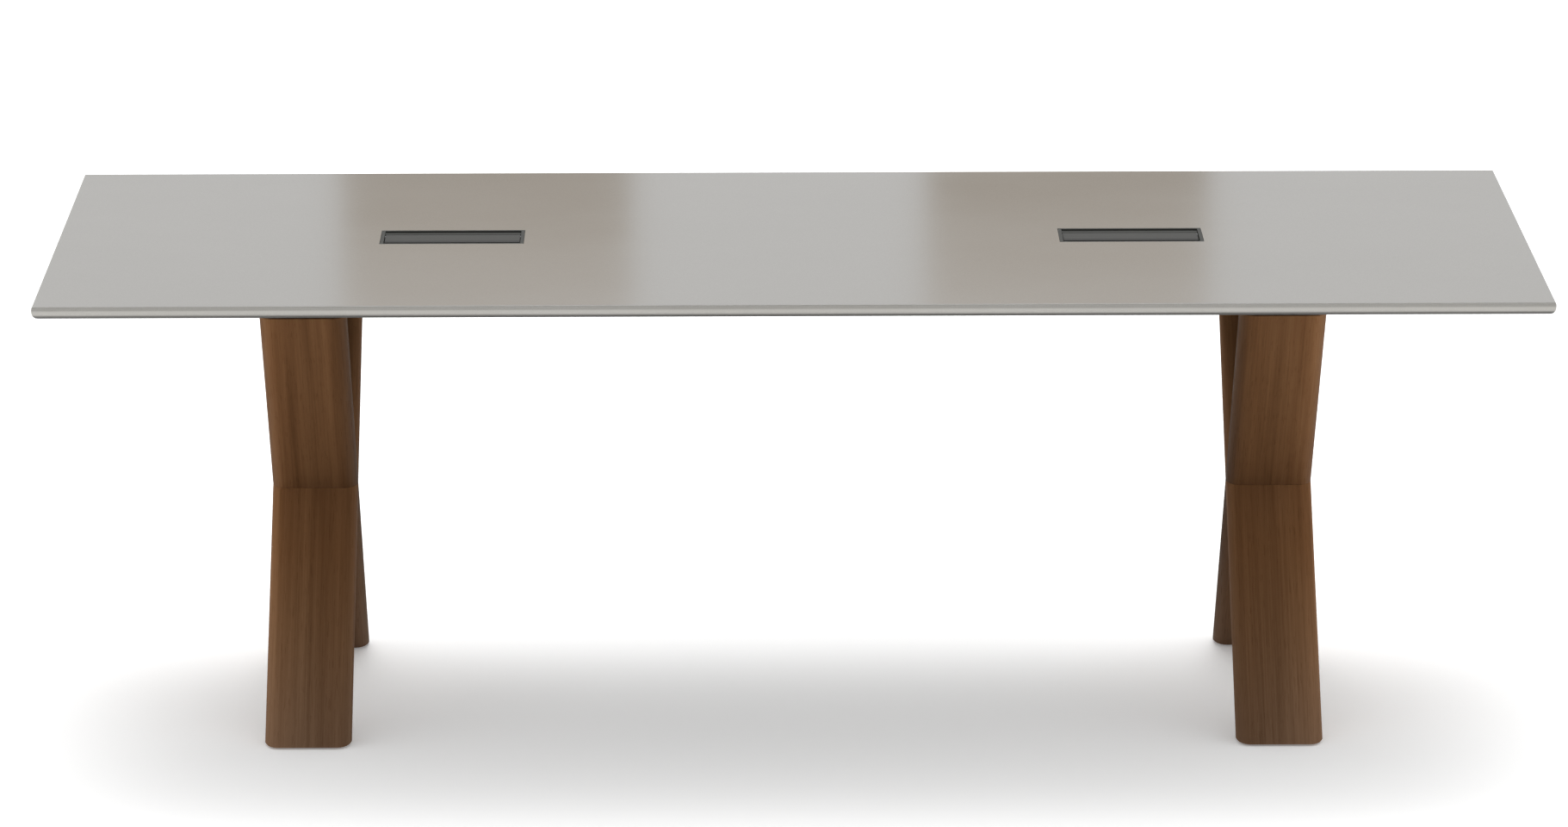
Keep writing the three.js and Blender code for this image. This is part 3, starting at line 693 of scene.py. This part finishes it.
def beam_ends(centre_x, grow):
    """The half ellipses at a beam's right and left ends, grown all round, about y = 0."""
    half_flat = BEAM_FLAT_WIDTH / 2
    radius_x = (beam_width - BEAM_FLAT_WIDTH) / 2 + grow
    radius_y = BEAM_CUT_DEPTH / 2 + grow * math.hypot(1.0, beam_slope)
    return [
        arc(centre_x + half_flat, 0.0, radius_x, radius_y, -QUARTER_TURN, QUARTER_TURN, BEAM_END_STEPS),
        arc(centre_x - half_flat, 0.0, radius_x, radius_y, QUARTER_TURN, 3 * QUARTER_TURN, BEAM_END_STEPS),
    ]


def slant(outline, z, foot_sign):
    """The outline at height z, moved by y = foot_sign * slope * (waist - z)."""
    ring = at_height(outline, z)
    ring[:, 1] += foot_sign * beam_slope * (waist_height - z)
    return ring


def beam_mesh(centre_x, foot_sign):
    """A whole beam: a chamfered rim, the long slanted run and another rim."""
    low, high = foot_low.z, foot_high.z
    levels = [(low, -RIM_CHAMFER), (low + RIM_CHAMFER, 0.0), (high - RIM_CHAMFER, 0.0), (high, -RIM_CHAMFER)]
    rings = [slant(np.concatenate(beam_ends(centre_x, grow)), z, foot_sign) for z, grow in levels]
    return ring_mesh("beam", np.stack(rings))


# %% [markdown]
# The crossed lap is cut with the other beam's own half outline, grown by a hair, so that the seams show as
# they would. The front-footed beam loses its inner half there and the other its outer half, and a round hole
# in each foot takes the threaded socket of its glide.

# %% Halve and place the beams
LAP_GAP = 0.0001
SOCKET_DEPTH = 0.026
SOCKET_STEPS = 40


def lap_cutter(plane_x, centre_x, half_sign, foot_sign):
    """The half of the crossing beam on one side of the lap plane: its one end, squared off at that plane."""
    right, left = beam_ends(centre_x, LAP_GAP)
    end = right if half_sign > 0 else left
    square = np.column_stack([(plane_x, plane_x), end[[-1, 0], 1]])
    outline = np.concatenate([end, square])
    heights = (foot_low.z - CUT_PAST, foot_high.z + CUT_PAST)
    return ring_mesh("lap", np.stack([slant(outline, z, foot_sign) for z in heights]))


def socket_cutter(node):
    """The round hole in a foot that the threaded socket is pressed into."""
    low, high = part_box(node)
    radius = (high.x - low.x) / 2 + FIT_GAP
    middle_x = (low.x + high.x) / 2
    middle_y = (low.y + high.y) / 2
    outline = arc(middle_x, middle_y, radius, radius, 0.0, FULL_TURN, SOCKET_STEPS)[:-1]
    heights = (low.z - CUT_PAST, low.z + SOCKET_DEPTH)
    return ring_mesh("hole", np.stack([at_height(outline, z) for z in heights]))


for side, side_sign in (("left", -1), ("right", 1)):
    low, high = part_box(f"{side}_leg_front_foot_beam")
    middle = (low.x + high.x) / 2
    for row, foot_sign in (("front", -1), ("rear", 1)):
        lost_half = side_sign * foot_sign
        # The rear-footed beam is cut a hair past the middle, which leaves the seam between the halves
        plane = middle if row == "front" else middle - side_sign * LAP_GAP
        cutters = [
            lap_cutter(plane, middle, lost_half, -foot_sign),
            socket_cutter(f"{row}_{side}_glide_socket"),
        ]
        node = f"{side}_leg_{row}_foot_beam"
        mesh = carved(beam_mesh(middle, foot_sign), cutters)
        place_piece(f"{side}_{row}_foot_beam_wood", mesh, walnut[row], node)
        print(node, len(mesh.polygons), "faces")

# %% [markdown]
# A glide pad is a moulded disc with a rolled rim. Its stem is a threaded rod: the radius at each point is
# the core plus a triangle wave that climbs one pitch for every turn, which draws a real helix. It only shows
# when a glide is screwed out to level the table.

# %% Glides
THREAD_PITCH = 0.0015
THREAD_DEPTH = 0.0008
THREAD_STEPS = 32
RINGS_PER_PITCH = 6
PAD_RIM = 0.0009
PAD_RIM_STEPS = 6
PAD_STEPS = 48
GLIDES = [f"{row}_{side}_glide" for row in ("front", "rear") for side in ("left", "right")]


def turned_rings(centre, profile, steps):
    """A profile of (radius, height) rows turned about the upright axis through centre."""
    angle = np.linspace(0.0, FULL_TURN, steps, endpoint=False)
    rings = np.empty((len(profile), steps, 3))
    rings[:, :, 0] = centre[0] + profile[:, :1] * np.cos(angle)
    rings[:, :, 1] = centre[1] + profile[:, :1] * np.sin(angle)
    rings[:, :, 2] = profile[:, 1:]
    return rings


def thread_rings(centre, radius, low, high):
    """Radius = outer - depth * |2 frac(z / pitch - turn) - 1|, faded to the core at both ends."""
    heights = np.linspace(low, high, int((high - low) / THREAD_PITCH * RINGS_PER_PITCH))
    turn = np.arange(THREAD_STEPS) / THREAD_STEPS
    phase = (heights[:, None] / THREAD_PITCH - turn) % 1.0
    fade = np.minimum(1.0, np.minimum(heights - low, high - heights) / THREAD_PITCH)[:, None]
    reach = radius - THREAD_DEPTH * (1.0 - fade * (1.0 - np.abs(2.0 * phase - 1.0)))
    angle = FULL_TURN * turn
    x = centre[0] + reach * np.cos(angle)
    y = centre[1] + reach * np.sin(angle)
    return np.stack([x, y, np.broadcast_to(heights[:, None], reach.shape)], axis=-1)


for glide in GLIDES:
    low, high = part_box(f"{glide}_pad")
    centre = ((low.x + high.x) / 2, (low.y + high.y) / 2)
    radius = (high.x - low.x) / 2
    rim = arc(radius - PAD_RIM, high.z - PAD_RIM, PAD_RIM, PAD_RIM, 0.0, QUARTER_TURN, PAD_RIM_STEPS)
    sole = arc(radius - PAD_RIM, low.z + PAD_RIM, PAD_RIM, PAD_RIM, -QUARTER_TURN, 0.0, PAD_RIM_STEPS)
    pad = ring_mesh("pad", turned_rings(centre, np.concatenate([sole, rim]), PAD_STEPS))
    place_piece(f"{glide}_disc", pad, FINISH_OF_SLOT["nylon"], f"{glide}_pad")
    low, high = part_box(f"{glide}_stem")
    stem = ring_mesh("stem", thread_rings(centre, (high.x - low.x) / 2, low.z, high.z))
    place_piece(f"{glide}_thread", stem, FINISH_OF_SLOT["zinc_steel"], f"{glide}_stem")
print("glides:", len(GLIDES))

# %% [markdown]
# What is left is metalwork and dowels whose solid shape is already right. A real folded or machined edge is
# never razor sharp, so each gets a copy with its loose triangles merged, its flat faces joined into whole
# polygons and a fine bevel round its edges, which catches the light as a thin line.

# %% Softened metalwork
BEVEL_WIDTH = {"dark_aluminium": 0.0005, "grey_aluminium": 0.0006, "black_steel": 0.0008}
SMALL_BEVEL = 0.0002
BEVEL_SEGMENTS = 2
BEVEL_ANGLE = math.radians(40.0)
MERGE_DISTANCE = 0.00001
FLAT_ANGLE = math.radians(0.5)


def softened(node):
    """A merged, flat-joined copy of a node, with a small bevel on its hard edges."""
    slot = slot_of_node[node]
    mesh = nodes[node].data.copy()
    shape = bmesh.new()
    shape.from_mesh(mesh)
    bmesh.ops.remove_doubles(shape, verts=shape.verts, dist=MERGE_DISTANCE)
    bmesh.ops.dissolve_limit(shape, angle_limit=FLAT_ANGLE, verts=shape.verts, edges=shape.edges)
    shape.to_mesh(mesh)
    shape.free()
    piece = place_piece(f"{node}_finished", mesh, FINISH_OF_SLOT[slot], node)
    bevel = piece.modifiers.new("edge", "BEVEL")
    bevel.width = BEVEL_WIDTH.get(slot, SMALL_BEVEL)
    bevel.segments = BEVEL_SEGMENTS
    bevel.limit_method = "ANGLE"
    bevel.angle_limit = BEVEL_ANGLE
    bevel.harden_normals = True


done = {"table_top"}
done |= {node for node in nodes if node.endswith(("_foot_beam", "_glide_pad", "_glide_stem"))}
left_over = sorted(set(nodes) - done)
for node in left_over:
    softened(node)
print("softened:", len(left_over), "pieces")

# %% [markdown]
# The stage is a wide pale floor, as in a white studio. It glows faintly, which stands for the light that a
# white room throws back into a shadow.

# %% Floor
FLOOR_REACH = 40.0
FLOOR_COLOUR = (0.98, 0.98, 0.98, 1.0)
FLOOR_FINISH = {
    "Base Color": FLOOR_COLOUR,
    "Roughness": 0.9,
    "Specular IOR Level": 0.0,
    "Emission Color": FLOOR_COLOUR,
    "Emission Strength": 0.185,
}


def stage_plane(name, corners, material):
    """One flat four-cornered plane that belongs to the stage."""
    mesh = bpy.data.meshes.new(name)
    mesh.from_pydata(corners, [], [(0, 1, 2, 3)])
    mesh.materials.append(material)
    plane = bpy.data.objects.new(name, mesh)
    bpy.context.scene.collection.objects.link(plane)
    return plane


def plain_paint(tree, place):
    """Paint that leaves every socket at its constant."""
    return {}


floor_corners = [(sx * FLOOR_REACH, sy * FLOOR_REACH, 0.0) for sx, sy in ((-1, -1), (1, -1), (1, 1), (-1, 1))]
stage_plane("floor", floor_corners, new_finish("pale_floor", FLOOR_FINISH, plain_paint))
print("floor:", 2 * FLOOR_REACH, "m wide")

# %% [markdown]
# The light is an almost even sky with one soft bright patch, the key light, above and behind the table. A
# lamp could give the same, but a patch of sky has no edge that shows in the lacquer. Its brightness is a
# power of the cosine between a direction and the patch's axis, and its tilt throws the shadow forwards.

# %% Sky
SKY_STOPS = [(0.50, (0.77, 0.77, 0.765)), (1.0, (0.84, 0.84, 0.84))]
KEY_TILT = math.radians(30)
KEY_TIGHTNESS = 16
KEY_STRENGTH = 6.2

world = bpy.data.worlds.new("studio")
bpy.context.scene.world = world
world.use_nodes = True
sky = world.node_tree
background = sky.nodes["Background"]
direction = add_node(sky, "ShaderNodeTexCoord", output="Generated")
upward = coordinate(sky, direction, "Z")
rearward = coordinate(sky, direction, "Y")
glow = ramp(sky, upward * 0.5 + 0.5, SKY_STOPS)
sky.links.new(glow.socket, background.inputs["Color"])
cosine = rearward * math.sin(KEY_TILT) + upward * math.cos(KEY_TILT)
facing = add_node(sky, "ShaderNodeMath", {"operation": "MAXIMUM"}, {0: cosine, 1: 0.0})
key = facing ** KEY_TIGHTNESS * KEY_STRENGTH + 1.0
sky.links.new(key.socket, background.inputs["Strength"])
print("key light", round(math.degrees(KEY_TILT)), "degrees behind overhead")

# %% [markdown]
# Two tall panels stand far behind the table, above the picture. Only gloss sees them: they are the soft warm
# streaks that lie across the lacquer in the photograph. They shine by themselves, paler towards the top.

# %% Warm panels
PANEL_Y = 7.0
PANEL_LOW = 0.4
PANEL_HIGH = 2.35
PANEL_SPANS = [(-1.045, -0.345), (0.372, 1.055)]
PANEL_STOPS = [(0.74, (0.25, 0.18, 0.11)), (1.0, (0.63, 0.53, 0.43))]

panel_finish = bpy.data.materials.new("warm_panel")
panel_finish.use_nodes = True
panel_tree = panel_finish.node_tree
panel_tree.nodes.remove(panel_tree.nodes["Principled BSDF"])
panel_place = add_node(panel_tree, "ShaderNodeTexCoord", output="Object")
panel_level = (coordinate(panel_tree, panel_place, "Z") - PANEL_LOW) * (1.0 / (PANEL_HIGH - PANEL_LOW))
panel_glow = ramp(panel_tree, panel_level, PANEL_STOPS)
panel_light = add_node(panel_tree, "ShaderNodeEmission", {}, {"Color": panel_glow, "Strength": 1.0})
panel_tree.links.new(panel_light.socket, panel_tree.nodes["Material Output"].inputs["Surface"])
for i, (left, right) in enumerate(PANEL_SPANS):
    panel_corners = [
        (left, PANEL_Y, PANEL_LOW),
        (right, PANEL_Y, PANEL_LOW),
        (right, PANEL_Y, PANEL_HIGH),
        (left, PANEL_Y, PANEL_HIGH),
    ]
    panel = stage_plane(f"panel_{i + 1}", panel_corners, panel_finish)
    panel.visible_camera = False
    panel.visible_diffuse = False
    panel.visible_shadow = False
print("panels:", len(PANEL_SPANS))
